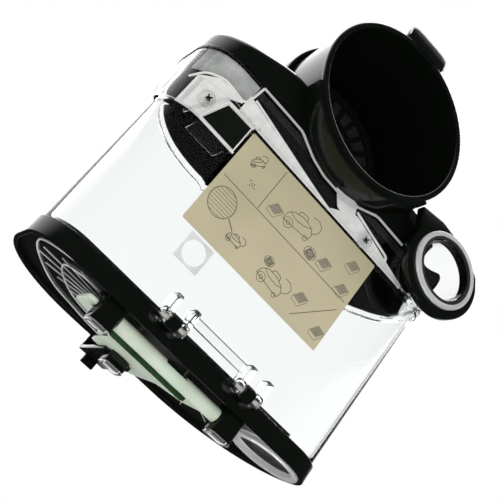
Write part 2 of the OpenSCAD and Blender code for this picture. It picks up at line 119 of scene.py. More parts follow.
background.inputs["Color"].default_value = (1, 1, 1, 1)
sky_links.new(strength, background.inputs["Strength"])
world_out = sky.new("ShaderNodeOutputWorld")
sky_links.new(background.outputs[0], world_out.inputs["Surface"])

lamp = bpy.data.lights.new("overhead", "AREA")
lamp.shape, lamp.size, lamp.energy = "SQUARE", 0.6, 5
softbox = bpy.data.objects.new("overhead", lamp)
softbox.location = (0.2, 0.3, 0.9)
softbox.rotation_euler = (Vector((0, 0, 0.15)) - softbox.location).to_track_quat("-Z", "Y").to_euler()
bpy.context.scene.collection.objects.link(softbox)

# The floor is pale paper that shows from above only, so the view from below is clear.
floor = bpy.data.objects.new("floor", bpy.data.meshes.new("floor"))
reach = 4.0
floor.data.from_pydata([(-reach, -reach, 0), (reach, -reach, 0), (reach, reach, 0), (-reach, reach, 0)],
                       [], [(0, 1, 2, 3)])
bpy.context.scene.collection.objects.link(floor)
for kind in ("glossy", "diffuse", "transmission", "shadow"):
    setattr(floor, "visible_" + kind, False)
paper = bpy.data.materials.new("floor_paper")
paper.use_nodes = True
paper_nodes, paper_links = paper.node_tree.nodes, paper.node_tree.links
paper_nodes["Principled BSDF"].inputs["Base Color"].default_value = (0.88, 0.88, 0.87, 1)
paper_nodes["Principled BSDF"].inputs["Roughness"].default_value = 0.9
one_sided = paper_nodes.new("ShaderNodeMixShader")
paper_links.new(paper_nodes.new("ShaderNodeNewGeometry").outputs["Backfacing"], one_sided.inputs["Fac"])
paper_links.new(paper_nodes["Principled BSDF"].outputs[0], one_sided.inputs[1])
paper_links.new(paper_nodes.new("ShaderNodeBsdfTransparent").outputs[0], one_sided.inputs[2])
paper_links.new(one_sided.outputs[0], paper_nodes["Material Output"].inputs["Surface"])
floor.data.materials.append(paper)


# The clear tank: one thin-walled moulding of water-clear plastic with a wider collar
# round its top, a label panel on its front, and lugs that the lid's pins run through.
# Sizes are in millimetres from the middle of the lid's plan, and made() places them.
mm = 0.001
lid_low, lid_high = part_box("bottom_lid")
cover_w, cover_d = (lid_high.x - lid_low.x) / mm, 110
middle = Vector(((lid_low.x + lid_high.x) / 2, lid_high.y - cover_d / 2 * mm, 0))
front_y, back_y = -cover_d / 2, cover_d / 2
corners = [(1, -1, 28, -90), (1, 1, 82, 0), (-1, 1, 66, 90), (-1, -1, 26, 180)]
rim_z, lid_top_z, tank_z = 16, 28, 28.4
collar_z, pocket_z, collar_top_z, frame_z = 146, 123, 171, 171.4
tank_inset, tank_wall = 2, 2.4
panel_z, panel_t, panel_left, panel_right = 32, 0.6, -60, 84
cup_hole_r, tube_hole_r = 63, 22.6
tilt = radians(12)
mouth = Vector((0, front_y - 8, collar_top_z + 56))
inlet = Vector((cover_w / 2 - 23, front_y - 17, collar_top_z + 1))


def plan_points(step=2.0):
    """Points round the plan, anticlockwise from above, each with the way it faces."""
    points = []
    ends = [(sx * (cover_w / 2 - r), sy * (cover_d / 2 - r), r, turn) for sx, sy, r, turn in corners]
    for (cx, cy, r, turn), (nx, ny, nr, _) in zip(ends, ends[1:] + ends[:1]):
        steps = round(r * pi / 2 / step)
        for i in range(steps + 1):
            a = radians(turn + 90 * i / steps)
            points.append((cx + r * cos(a), cy + r * sin(a), cos(a), sin(a)))
        a = radians(turn + 90)
        start = Vector((cx + r * cos(a), cy + r * sin(a)))
        run = Vector((nx + nr * cos(a), ny + nr * sin(a))) - start
        parts = round(run.length / step)
        points += [(*(start + run * (i / parts)), cos(a), sin(a)) for i in range(1, parts)]
        if parts == 0:
            points.pop()
    return points


plan = plan_points()


def smooth(start, end, value):
    """0 before start, 1 after end and an easy slope between them."""
    t = min(max((value - start) / (end - start), 0), 1)
    return t * t * (3 - 2 * t)


def rounded(points, radius, steps=3, closed=True):
    """The corners of a flat outline, each eased over the given radius."""
    result = []
    count = len(points)
    for i, p in enumerate(points):
        if not closed and i in (0, count - 1):
            result.append(tuple(p))
            continue
        here, before, after = Vector(p), Vector(points[i - 1]), Vector(points[(i + 1) % count])
        a = here + (before - here) * min(radius / max((before - here).length, 1e-6), 0.45)
        b = here + (after - here) * min(radius / max((after - here).length, 1e-6), 0.45)
        for s in range(steps + 1):
            t = s / steps
            result.append(tuple(a * (1 - t) ** 2 + here * (2 * t * (1 - t)) + b * t ** 2))
    return result


def lofted(rings, closed=True):
    """A skin over rings of points; closed joins the last ring's points back to the first."""
    n, m = len(rings), len(rings[0])
    verts = [p for ring in rings for p in ring]
    faces = []
    for i in range(n if closed else n - 1):
        j = (i + 1) % n
        faces += [(i * m + k, j * m + k, j * m + (k + 1) % m, i * m + (k + 1) % m) for k in range(m)]
    if not closed:
        faces += [tuple(range(m)), tuple((n - 1) * m + k for k in reversed(range(m)))]
    return verts, faces


def swept(section):
    """A closed wall round the plan; section(x, y) gives its cut as (outwards, z) points."""
    return lofted([[(x + out * nx, y + out * ny, z) for out, z in section(x, y)] for x, y, nx, ny in plan])


def turned(profile, at, steps=96, angles=None):
    """A closed outline of (radius, height) points turned round at's Z axis, or only over some angles."""
    turns = angles or [2 * pi * i / steps for i in range(steps)]
    return lofted([[at @ Vector((r * cos(a), r * sin(a), h)) for r, h in profile] for a in turns],
                  closed=angles is None)


def round_outline(radius, steps):
    """Points round a circle; six of them make a hexagon."""
    return [(radius * cos(2 * pi * i / steps), radius * sin(2 * pi * i / steps)) for i in range(steps)]


def oblong(width, depth):
    """The corners of a flat oblong round its middle."""
    w, d = width / 2, depth / 2
    return [(-w, -d), (w, -d), (w, d), (-w, d)]


def block(outline, at, z0, z1, edge=0.5):
    """A flat outline raised from z0 to z1 on at, with its rims eased."""
    count = len(outline)
    facing_out = []
    for i in range(count):
        run = Vector(outline[(i + 1) % count]) - Vector(outline[i - 1])
        facing_out.append(Vector((run.y, -run.x)).normalized())
    turn = sum(Vector(outline[i]).cross(Vector(outline[(i + 1) % count])) for i in range(count))
    sign = 1 if turn > 0 else -1
    rings = []
    for inset, z in ((edge, z0), (edge * 0.3, z0 + edge * 0.3), (0, z0 + edge), (0, z1 - edge),
                     (edge * 0.3, z1 - edge * 0.3), (edge, z1)):
        rings.append([at @ Vector((p[0] - sign * n.x * inset, p[1] - sign * n.y * inset, z))
                      for p, n in zip(outline, facing_out)])
    return lofted(rings, closed=False)


def brick(low, high, edge=0.5):
    """A box with eased edges."""
    (x0, y0, z0), (x1, y1, z1) = low, high
    ring = rounded([(x0, y0), (x1, y0), (x1, y1), (x0, y1)], edge * 1.4, 2)
    return block(ring, Matrix(), z0, z1, edge)


def disc(radius, at, z0, z1, edge=0.5, steps=48):
    """A round block on at."""
    return block(round_outline(radius, steps), at, z0, z1, edge)


def along_x(x, y, z):
    """A place whose Z runs along the tank."""
    return Matrix.Translation((x, y, z)) @ Matrix.Rotation(pi / 2, 4, "Y")


def along_front(x, z, y=0):
    """A place that looks out of the front: X stays, Y is up and Z comes forwards."""
    return Matrix.Translation((x, y, z)) @ Matrix.Rotation(pi / 2, 4, "X")


def facing(point):
    """At a mouth, with Z along the tilted way that it faces."""
    return Matrix.Translation(point) @ Matrix.Rotation(pi / 2 - tilt, 4, "X")


def skin(parts):
    """Closed skins as one working mesh, with their doubles merged."""
    whole = bmesh.new()
    for verts, faces in parts:
        points = [whole.verts.new(v) for v in verts]
        for face in faces:
            whole.faces.new([points[i] for i in face])
    bmesh.ops.remove_doubles(whole, verts=whole.verts, dist=1e-4)
    return whole


def made(name, parts, material, body, slot, *nodes, crease=34):
    """Joins closed skins into one placed piece and hands it to the frame."""
    whole = bmesh.new()
    for shape in parts:
        part = skin([shape])
        bmesh.ops.recalc_face_normals(part, faces=part.faces)
        bmesh.ops.triangulate(part, faces=[f for f in part.faces if len(f.verts) > 4])
        step = bpy.data.meshes.new("step")
        part.to_mesh(step)
        whole.from_mesh(step)
        part.free()
        bpy.data.meshes.remove(step)
    bmesh.ops.transform(whole, matrix=Matrix.Translation(middle) @ Matrix.Scale(mm, 4), verts=whole.verts)
    mesh = bpy.data.meshes.new(name)
    whole.to_mesh(mesh)
    whole.free()
    return handed(bpy.data.objects.new(name, mesh), material, body, slot, *nodes, crease=crease)


def handed(piece, material, body, slot, *nodes, crease=34):
    """Finishes a placed piece: smooth faces, material, body and the nodes it stands for; slot is not used."""
    bpy.context.scene.collection.objects.link(piece)
    mesh = piece.data
    mesh.materials.clear()
    mesh.materials.append(material)
    mesh.polygons.foreach_set("use_smooth", [True] * len(mesh.polygons))
    mesh.set_sharp_from_angle(angle=radians(crease))
    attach(piece, body)
    if nodes:
        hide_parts(*nodes)
    return piece


def shader(name, colour, roughness, **constants):
    """A Principled material; constants are values of its further sockets."""
    material = bpy.data.materials.new(name)
    material.use_nodes = True
    sockets = material.node_tree.nodes["Principled BSDF"].inputs
    sockets["Base Color"].default_value = (*colour, 1)
    sockets["Roughness"].default_value = roughness
    for key, value in constants.items():
        sockets[key.replace("_", " ")].default_value = value
    return material


grain_low, grain_high = 0.3, 0.7


def grain(material, size_mm, detail):
    """A noise of the given size in Object coordinates, and what is needed to wire it in."""
    nodes, links = material.node_tree.nodes, material.node_tree.links
    texture = nodes.new("ShaderNodeTexNoise")
    texture.inputs["Scale"].default_value = 1 / (size_mm * mm)
    texture.inputs["Detail"].default_value = detail
    links.new(nodes.new("ShaderNodeTexCoord").outputs["Object"], texture.inputs["Vector"])
    return texture.outputs["Fac"], nodes, links, nodes["Principled BSDF"].inputs


def polish(material, size_mm, detail, low, high):
    """Varies the roughness between low and high with a grain."""
    value, nodes, links, sockets = grain(material, size_mm, detail)
    node = nodes.new("ShaderNodeMapRange")
    for key, number in (("From Min", grain_low), ("From Max", grain_high), ("To Min", low), ("To Max", high)):
        node.inputs[key].default_value = number
    links.new(value, node.inputs["Value"])
    links.new(node.outputs["Result"], sockets["Roughness"])


def tint(material, size_mm, detail, first, second):
    """Varies the colour between two colours with a grain."""
    value, nodes, links, sockets = grain(material, size_mm, detail)
    node = nodes.new("ShaderNodeValToRGB")
    for stop, place, colour in zip(node.color_ramp.elements, (grain_low, grain_high), (first, second)):
        stop.position = place
        stop.color = (*colour, 1)
    links.new(value, node.inputs["Fac"])
    links.new(node.outputs["Color"], sockets["Base Color"])


def relief(material, size_mm, detail, depth_mm, strength):
    """Raises the surface by a grain."""
    value, nodes, links, sockets = grain(material, size_mm, detail)
    bump = nodes.new("ShaderNodeBump")
    bump.inputs["Distance"].default_value = depth_mm * mm
    bump.inputs["Strength"].default_value = strength
    links.new(value, bump.inputs["Height"])
    links.new(bump.outputs["Normal"], sockets["Normal"])


water_clear = shader("water_clear_plastic", (0.97, 0.985, 0.98), 0.01, Transmission_Weight=1.0, IOR=1.22)
polish(water_clear, 14, 4, 0.01, 0.06)
relief(water_clear, 22, 2, 0.04, 0.6)


def hole_low(x, y, centre, radius):
    """The lowest z of a tilted round hole at a point of the plan, or a height out of the way."""
    across = x - centre.x
    if abs(across) >= radius or y > 0:
        return 999
    axis_z = centre.z - (y - centre.y) * tan(tilt)
    return axis_z - sqrt(radius ** 2 - across ** 2) / cos(tilt)


def collar_low(x, y):
    """The collar's lower edge, which steps down to the deep end at the front left."""
    deep = smooth(-58.8, -63, x) * smooth(4, -34, y)
    return collar_z - (collar_z - pocket_z) * deep


def collar_top(x, y):
    """The collar's upper edge, which dips under the cup and under the inlet."""
    top = min(collar_top_z, hole_low(x, y, mouth, cup_hole_r) - 0.3,
              hole_low(x, y, inlet, tube_hole_r) - 0.2)
    least = 8 if y > -54.9 else 3
    return max(top, collar_low(x, y) + least)


def panel_out(x, y):
    """How far the label panel stands out of the tank's skin."""
    if y > -50:
        return 0
    return panel_t * smooth(panel_left - 2, panel_left, x) * min(max((panel_right - x) / 15, 0), 1)


def tank_cut(x, y):
    """The tank's wall: skin, panel, the step under the collar, and a lip round the top."""
    low, top = collar_low(x, y), collar_top(x, y)
    outside = -tank_inset
    inside = outside - tank_wall
    face = outside + panel_out(x, y)
    return rounded([
        (outside, tank_z), (outside, panel_z), (face, panel_z + 1), (face, low - 0.4),
        (0.2, low + 1.8), (0.5, low + 2.4), (0, low + 3.2),
        (0, top - 3.6), (1, top - 2.8), (1, top), (-tank_wall, top),
        (-tank_wall, low + tank_wall), (inside, low - 0.5), (inside, tank_z)], 0.8, 2)


def front_of(x, out=0):
    """The y of the plan's front at x."""
    for sx, sy, r, _ in corners[:1] + corners[3:]:
        if sx * x > cover_w / 2 - r:
            across = min(abs(x) - (cover_w / 2 - r), r)
            return front_y + r - sqrt(r * r - across * across) - out
    return front_y - out


def heading(line, i):
    """The way that a line of points runs at one of them."""
    return (Vector(line[min(i + 1, len(line) - 1)]) - Vector(line[max(i - 1, 0)])).normalized()


def bead(path, radius, out, steps=8):
    """A round ridge along (x, z) points of the front; out is how far its middle stands out."""
    spine = [Vector((x, front_of(x, out), z)) for x, z in path]
    rings = []
    for i, p in enumerate(spine):
        run = heading(spine, i)
        side = run.cross(Vector((0, 1, 0))).normalized()
        rise = side.cross(run)
        rings.append([p + radius * (side * cos(2 * pi * k / steps) + rise * sin(2 * pi * k / steps))
                      for k in range(steps)])
    return lofted(rings, closed=False)


def eased_path(points, radius, step=3.0):
    """Points along a broken line with eased corners, no further apart than the step."""
    line = rounded(points, radius, 5, closed=False)
    path = [line[0]]
    for a, b in zip(line, line[1:]):
        run = Vector(b) - Vector(a)
        parts = max(1, round(run.length / step))
        path += [tuple(Vector(a) + run * (k / parts)) for k in range(1, parts + 1)]
    return path


hinge_y, hinge_z = front_y - 5.6, lid_top_z - 1
knuckles, lug_x, lug_w, knuckle_r, knuckle_w = (-25, 35), 6.9, 5, 4.6, 8
wall_y, lug_top = front_y + tank_inset + 0.3, hinge_z + 14
screws, screw_pad_r = [(-92, 137), (39, 151.4)], 5.2
tank_parts = [swept(tank_cut)]
for x in knuckles:
    for side in (-1, 1):
        lug = x + side * lug_x
        tank_parts.append(disc(knuckle_r, along_x(lug, hinge_y, hinge_z), -lug_w / 2, lug_w / 2, 1.2))
        tank_parts.append(brick((lug - lug_w / 2, hinge_y - knuckle_r + 0.6, tank_z + 0.4),
                                (lug + lug_w / 2, wall_y, lug_top), 1.2))
tank_parts.append(brick((knuckles[0] + lug_x + 1, front_y - 1.4, hinge_z + 8),
                        (knuckles[1] - lug_x - 1, wall_y, lug_top), 0.9))
for x, z in screws:
    tank_parts.append(disc(screw_pad_r, along_front(x, z, front_of(x, 0.9)), -2.5, 0.6, 0.5))
deep_end_edge = eased_path([(-97, 122), (-84, 146), (-79, 148.5), (-60, 147), (-57, 149)], 2.5)
tank_parts.append(bead(deep_end_edge, 1.0, 0.3))
made("clear_tank_shell", tank_parts, water_clear, "container", "clear_plastic", "clear_tank")


# The catch bracket: a clear block welded to the tank's back, whose two cheeks reach
# down on each side of the latch hook.
catch_x, catch_half, cheek_x, cheek_half = -15, 14.4, 12.9, 1.5
catch_back, catch_top = back_y + 3.4, lid_top_z + 8
catch_parts = [brick((catch_x - catch_half, back_y - 1.9, tank_z + 0.1),
                     (catch_x + catch_half, catch_back, catch_top), 0.6)]
for side in (-1, 1):
    cheek = catch_x + side * cheek_x
    catch_parts.append(brick((cheek - cheek_half, back_y + 0.4, rim_z - 6),
                             (cheek + cheek_half, catch_back, catch_top), 0.5))
made("catch_bracket_clear", catch_parts, water_clear, "container", "clear_plastic", "catch_bracket")


# The instruction label: a beige paper sticker on the tank's front panel, with
# line drawings printed in a grey ink that stands a hair proud of the paper.
label_x, label_w, label_h, label_z, label_t = -1, 114, 69, 111, 0.3
label_y = front_y + tank_inset - 0.6
label_paper = shader("label_paper", (0.55, 0.49, 0.32), 0.55)
tint(label_paper, 60, 2, (0.60, 0.535, 0.355), (0.50, 0.445, 0.285))
relief(label_paper, 0.5, 2, 0.02, 0.5)
label_outline = rounded(oblong(label_w, label_h), 1.2, 4)
made("label_sticker", [block(label_outline, along_front(label_x, label_z, label_y), 0, label_t, 0.08)],
     label_paper, "container", "printed_label", "instruction_label")

label_at = along_front(label_x, label_z, label_y - label_t)
ink_top, ink_under = 0.05, -0.02


def on_label(u, v):
    """A place on the label, from its top left corner, as shares of its width and height."""
    return Vector(((u - 0.5) * label_w, (0.5 - v) * label_h))


def ink(points, width=0.45):
    """A printed line through (across, up) points of the label."""
    rings = []
    for i, p in enumerate(points):
        run = heading(points, i)
        side = Vector((-run.y, run.x)) * width / 2
        cut = ((p - side, ink_top), (p + side, ink_top), (p + side, ink_under), (p - side, ink_under))
        rings.append([label_at @ Vector((q.x, q.y, h)) for q, h in cut])
    return lofted(rings, closed=False)


def oval(centre, width, height, step=15):
    """Points round an oval, with the first one again at the end."""
    return [centre + Vector((width * cos(radians(a)), height * sin(radians(a)))) for a in range(0, 361, step)]


def drawn_cleaner(centre, size, turn=0):
    """A small line drawing of a canister cleaner with its wheels, handle and hose."""
    spin = Matrix.Rotation(radians(turn), 2)
    body = [(-1, -0.3), (-0.92, 0.12), (-0.6, 0.42), (0.1, 0.5), (0.72, 0.34), (1, 0), (0.92, -0.36),
            (-1, -0.3)]
    hood = [(-0.75, 0.3), (-0.3, 0.1), (0.35, 0.12), (0.8, 0.28)]
    handle = [(-0.3, 0.48), (-0.2, 0.72), (0.35, 0.68), (0.4, 0.44)]
    hose = [(0.98, 0.05), (1.3, 0.3), (1.35, 0.7), (1.0, 0.95), (0.6, 0.9)]
    drawn = [ink([centre + (spin @ Vector(p)) * size for p in rounded(line, 0.12, 3, closed=False)], 0.4)
             for line in (body, hood, handle, hose)]
    for at, radius in (((-0.6, -0.3), 0.3), ((-0.6, -0.3), 0.12), ((0.72, -0.4), 0.14)):
        drawn.append(ink(oval(centre + spin @ Vector(at) * size, radius * size, radius * size), 0.35))
    return drawn


def filled(outline):
    """A printed patch."""
    return block([tuple(p) for p in outline], label_at, ink_under, ink_top, 0.01)


prints = [ink([on_label(0.02, 0.47), on_label(0.98, 0.47)]), ink([on_label(0.27, 0.02), on_label(0.27, 0.46)]),
          ink([on_label(0.765, 0.92), on_label(0.966, 0.575)])]
for u, v, size, turn in ((0.50, 0.28, 11, 8), (0.57, 0.84, 10, -6), (0.28, 0.82, 5.5, 0),
                         (0.12, 0.17, 5, 40)):
    prints += drawn_cleaner(on_label(u, v), size, turn)
lens_at, lens_r, hatch_r, hatch_step = on_label(0.11, 0.66), 9.4, 9.0, 2
prints.append(ink(oval(lens_at, lens_r, lens_r)))
for k in range(-4, 5):
    half = Vector((sqrt(hatch_r ** 2 - (hatch_step * k) ** 2), 0))
    hatch_at = lens_at + Vector((0, hatch_step * k))
    prints.append(ink([hatch_at - half, hatch_at + half], 0.25))
prints.append(ink([on_label(0.19, 0.72), on_label(0.245, 0.78)], 0.6))
for u, v in ((0.15, 0.33), (0.165, 0.345), (0.18, 0.335), (0.175, 0.36), (0.19, 0.36), (0.16, 0.37)):
    prints.append(ink(oval(on_label(u, v), 0.35, 0.35, step=45), 0.3))
shades = []
grid_top = ((-0.9, -0.5), (0.5, -0.8), (0.9, 0.3), (-0.4, 0.7))
filter_top = ((-5, -2.4), (1.4, -3.6), (5, 2), (-1.2, 3.4))
filter_side = ((-5, -2.4), (-5, -4.6), (1.4, -5.8), (5, 0), (5, 2))
for u, v in ((0.75, 0.35), (0.895, 0.16), (0.92, 0.40), (0.76, 0.74), (0.95, 0.85), (0.35, 0.335)):
    centre = on_label(u, v)
    shades.append(filled([centre + Vector(p) for p in filter_top]))
    prints.append(ink([centre + Vector(p) for p in filter_side], 0.3))
for u, v, size in ((0.65, 0.39, 4.6), (0.50, 0.72, 3.6)):
    centre = on_label(u, v)
    shades.append(filled([centre + Vector(p) * size for p in grid_top]))
    prints += [ink(oval(centre, size, size * 0.8), 0.35), ink(oval(centre, size * 0.6, size * 0.45), 0.3)]
label_ink = shader("label_ink", (0.13, 0.11, 0.075), 0.5)
polish(label_ink, 0.8, 2, 0.4, 0.65)
made("label_drawings", prints, label_ink, "container", "printed_label")
grey_ink = shader("label_grey_ink", (0.30, 0.27, 0.19), 0.5)
tint(grey_ink, 0.7, 1, (0.34, 0.31, 0.22), (0.22, 0.2, 0.14))
made("label_shades", shades, grey_ink, "container", "printed_label")


# The badge: a square plate of pale satin plastic with a round middle cut out, stuck
# to the tank below the label.
# This pale satin material is the badge's own colour, and it also carries the painted highlights of the collar
# beads and the pull tab's edge.
frosted_and_painted_highlight = shader("frosted_plastic_and_painted_highlight", (0.78, 0.79, 0.77), 0.5)
tint(frosted_and_painted_highlight, 6, 4, (0.84, 0.85, 0.83), (0.70, 0.71, 0.69))
relief(frosted_and_painted_highlight, 0.4, 2, 0.02, 0.5)


def less(body_parts, cutter_parts):
    """The first skins with the second ones cut away, as one closed skin."""
    things = []
    for name, parts in (("body", body_parts), ("cutter", cutter_parts)):
        whole = skin(parts)
        bmesh.ops.dissolve_degenerate(whole, edges=whole.edges, dist=1e-4)
        bmesh.ops.recalc_face_normals(whole, faces=whole.faces)
        things.append(bpy.data.objects.new(name, bpy.data.meshes.new(name)))
        whole.to_mesh(things[-1].data)
        whole.free()
        bpy.context.scene.collection.objects.link(things[-1])
    body, cutter = things
    cut = body.modifiers.new("cut", "BOOLEAN")
    cut.operation = "DIFFERENCE"
    cut.solver = "EXACT"
    cut.object = cutter
    result = bpy.data.meshes.new_from_object(body.evaluated_get(bpy.context.evaluated_depsgraph_get()))
    verts = [tuple(v.co) for v in result.vertices]
    faces = [tuple(p.vertices) for p in result.polygons]
    for thing in things:
        bpy.data.objects.remove(thing)
    return verts, faces


badge_w, badge_hole_r = 18, 7.56
badge_at = along_front(-39, rim_z + 50, label_y)
badge_plate = block(rounded(oblong(badge_w, badge_w), 0.5, 2), badge_at, 0, 0.3, 0.06)
made("front_badge_plate", [less([badge_plate], [disc(badge_hole_r, badge_at, -1, 2, 0.1, 64)])],
     frosted_and_painted_highlight, "container", "frosted_badge", "front_badge")


# The collar's insets and beads: pale satin plates moulded on the clear collar, ridges along its edges whose
# pale colour is a painted highlight, one smoky plate at its left end, and a black window over the deep end.
def along(line, share):
    """The point at a share of the way along a broken line."""
    spans = [(Vector(b) - Vector(a)).length for a, b in zip(line, line[1:])]
    left = share * sum(spans)
    for a, b, span in zip(line, line[1:], spans):
        if left <= span:
            return Vector(a).lerp(Vector(b), left / span)
        left -= span
    return Vector(line[-1])


def front_inset(left, right, out, depth=0.7, steps=24, across=8):
    """A thin plate that follows the curved front between two broken lines of (x, z) points."""
    rings = []
    for i in range(steps + 1):
        a, b = along(left, i / steps), along(right, i / steps)
        face = [a.lerp(b, k / across) for k in range(across + 1)]
        rings.append([Vector((p.x, front_of(p.x, out), p.y)) for p in face]
                     + [Vector((p.x, front_of(p.x, out - depth), p.y)) for p in reversed(face)])
    return lofted(rings, closed=False)


insets = [front_inset([(-99, 147), (-104, 147), (-94, 153), (-76, 153.6)],
                      [(-93, 147), (-88, 147), (-82.7, 147), (-75, 152)], 0.35),
          front_inset([(-104, 125), (-104, 147.2)], [(-60.5, 125), (-60.5, 147.2)], 0.2, steps=12),
          front_inset([(-74, 147.2), (-40, 147), (8, 147)], [(-74, 159.5), (-40, 154.2), (8, 147.4)], 0.25),
          front_inset([(8, 147), (40, 147), (78, 147)], [(8, 149), (25, 159.5), (78, 149)], 0.25),
          front_inset([(3, 162), (11, 165)], [(11, 153.5), (21.5, 151)], 0.4),
          front_inset([(11, 165), (21, 164.5)], [(21.5, 151), (24, 158)], 0.42)]
made("collar_insets", insets, frosted_and_painted_highlight, "container", "frosted_badge")
dark_window = shader("dark_window_plastic", (0.006, 0.008, 0.006), 0.15)
polish(dark_window, 8, 3, 0.1, 0.25)
made("pocket_window", [front_inset([(-87, 127), (-80.3, 144.3)], [(-61.5, 127), (-61.5, 144.8)], 0.5)],
     dark_window, "container", "black_gloss")
upper_bead = eased_path([(-107, 143.7), (-102, 151), (-91.7, 154.4), (-74.5, 153), (-72.5, 158),
                         (-71, 169.5)], 3)
shoulder_bead = eased_path([(-70, 160), (-40, 155), (-8, 149.6), (8, 147.4)], 2)
right_bead = eased_path([(24, 161), (40, 158), (58, 155), (60, 149), (56, 147)], 2)
top_bead = eased_path([(-71, 169.8), (-36, 169.8), (-30, 167), (-20, 162.8), (-8, 160.2), (8, 160.2),
                       (20, 162.8), (30, 167), (36, 169.8), (62, 169.5)], 3)
pocket_bead = eased_path([(-60, 125.5), (-89, 125.5), (-81.5, 146), (-60, 146)], 2.5)
# The beads' pale colour is a painted highlight along the collar's edges.
made("collar_beads_painted_highlight", [bead(line, 0.8, 0.25) for line in
                      (upper_bead, shoulder_bead, right_bead, top_bead, pocket_bead)],
     frosted_and_painted_highlight, "container", "frosted_badge")
smoke = shader("smoky_inset_plastic", (0.30, 0.31, 0.30), 0.3)
tint(smoke, 16, 3, (0.20, 0.21, 0.20), (0.52, 0.53, 0.52))
made("smoky_inset", [front_inset([(-109, 150), (-108.5, 168)], [(-73, 155), (-73, 168)], 0.2)],
     smoke, "container", "smoky_plastic")


# The top frame: a glossy black moulding that closes the tank. Its plug fits inside
# the collar, and it hangs a box into the collar's deep end.
gloss_black = shader("gloss_black_plastic", (0.0035, 0.005, 0.0035), 0.12, Specular_IOR_Level=0.45)
polish(gloss_black, 9, 5, 0.09, 0.2)
relief(gloss_black, 1.2, 2, 0.01, 0.35)
frame_wall, frame_edge, crown = 3, 4.5, 1.2
saddle_r, saddle_bore, saddle_end, seat_depth, cup_free = 62, 59, 105, 102, 45
plug_in, plug_out, plug_low, plug_top = 6.3, 3.9, 150, 182


def frame_top(x, y):
    """The height of the frame's top skin before it is cut for the cup."""
    return 184 + 12 * smooth(106, 54, abs(x)) - 3 * smooth(20, 55, y)


def spine_at(x):
    """The point of the middle line that a point of the plan runs in to."""
    return Vector((min(max(round(x / 5) * 5, -70), 70), 0, 0))


def crowned(x, y, nx, ny, inset, drop, shares):
    """Points under the frame's top skin, from inside its rim to the middle line, on a low crown."""
    rim = Vector((x - inset * nx, y - inset * ny, 0))
    points = [(rim.lerp(spine_at(x), share), share) for share in shares]
    return [(p.x, p.y, frame_top(p.x, p.y) - drop + crown * share * (2 - share)) for p, share in points]


def frame_rings():
    """The frame's outer skin from the skirt's lower edge to its spine, and back inside."""
    shares = (0, 0.15, 0.35, 0.6, 0.85, 1)
    rings = []
    for x, y, nx, ny in plan:
        top = frame_top(x, y)
        ring = [(x - frame_wall * nx, y - frame_wall * ny, frame_z), (x, y, frame_z)]
        for a in (0, 0.4, 0.8, 1.2, pi / 2):
            inset = frame_edge * (1 - cos(a))
            ring.append((x - inset * nx, y - inset * ny, top - frame_edge * (1 - sin(a))))
        ring += crowned(x, y, nx, ny, frame_edge, 0, shares[1:])
        ring += crowned(x, y, nx, ny, frame_edge + 0.5, frame_wall, shares[::-1])
        ring.append((x - frame_wall * nx, y - frame_wall * ny, top - 6))
        rings.append(ring)
    return rings


def plug_cut(x, y):
    """The plug inside the collar; along the front its lower edge slants down to the right."""
    low = plug_low
    if y < -20:
        if x < -71:
            low = 164
        elif x < 9:
            low = 159 - 12 * (x + 71) / 80
        elif x < 60:
            low = 164 if x < 25 else 160.5 - 5.5 * (x - 25) / 33
    return rounded([(-plug_in, low), (-plug_out, low), (-plug_out, plug_top), (-plug_in, plug_top)], 0.5, 2)


mouth_at, inlet_at = facing(mouth), facing(inlet)
tube_r, tube_len, well_ahead = 22, 52, 40
cup_room = disc(saddle_bore, mouth_at, -seat_depth, well_ahead, 0.1, 128)
tube_room = disc(tube_r + 0.1, inlet_at, -tube_len - 0.4, well_ahead, 0.1, 96)
housing_room = disc(saddle_r + 0.2, mouth_at, -saddle_end, well_ahead, 0.1, 128)
frame_parts = [less([lofted(frame_rings())], [cup_room, tube_room]),
               less([swept(plug_cut)], [housing_room, tube_room])]
box_outline = rounded([(-86.5, 126.2), (-62, 126.2), (-62, 147), (-73, 147), (-79, 145.7)], 1.5, 3)
box_back, box_d, nub_r, nub_x, nub_z = -30, 20.6, 3.2, -2.4, 165.5
frame_parts.append(block(box_outline, along_front(0, 0, box_back), 0, box_d, 0.6))
frame_parts.append(block(round_outline(nub_r, 6), along_front(nub_x, nub_z, front_y + 4), 0, 5.2, 0.5))
made("top_frame_shell", frame_parts, gloss_black, "container", "black_gloss", "top_frame")


# The filter housing: the deep round seat of the cup, moulded in the same glossy black,
# with the air's way in through its underside.
window_w, window_low, window_high = 60, -67, -37
window_cut = block([(-window_w / 2, window_low), (window_w / 2, window_low), (window_w / 2, window_high),
                    (-window_w / 2, window_high)], mouth_at, 1 - seat_depth, 6 - seat_depth, 0.1)
housing = turned(rounded([(saddle_bore, -cup_free), (saddle_bore, -seat_depth), (1, -seat_depth),
                          (1, -saddle_end), (saddle_r - 4, -saddle_end), (saddle_r, -saddle_end + 5),
                          (saddle_r, -cup_free)], 1.5), mouth_at, 128)
made("filter_housing_shell", [less([housing], [window_cut])], gloss_black, "container", "black_gloss",
     "filter_housing")


# The front cradle: a glossy black trough, open at the top, that stands on the frame and
# carries the cup's free end.
cradle_start, cradle_turn, cradle_steps = -148, 116, 40
cradle_cut = rounded([(saddle_bore, -1), (saddle_bore, -cup_free + 0.3), (saddle_r, -cup_free + 0.3),
                      (saddle_r, -1)], 1.2, 2)
made("front_cradle_shell",
     [turned(cradle_cut, mouth_at, angles=[radians(cradle_start + cradle_turn * i / cradle_steps)
                                           for i in range(cradle_steps + 1)])],
     gloss_black, "container", "black_gloss", "front_cradle")


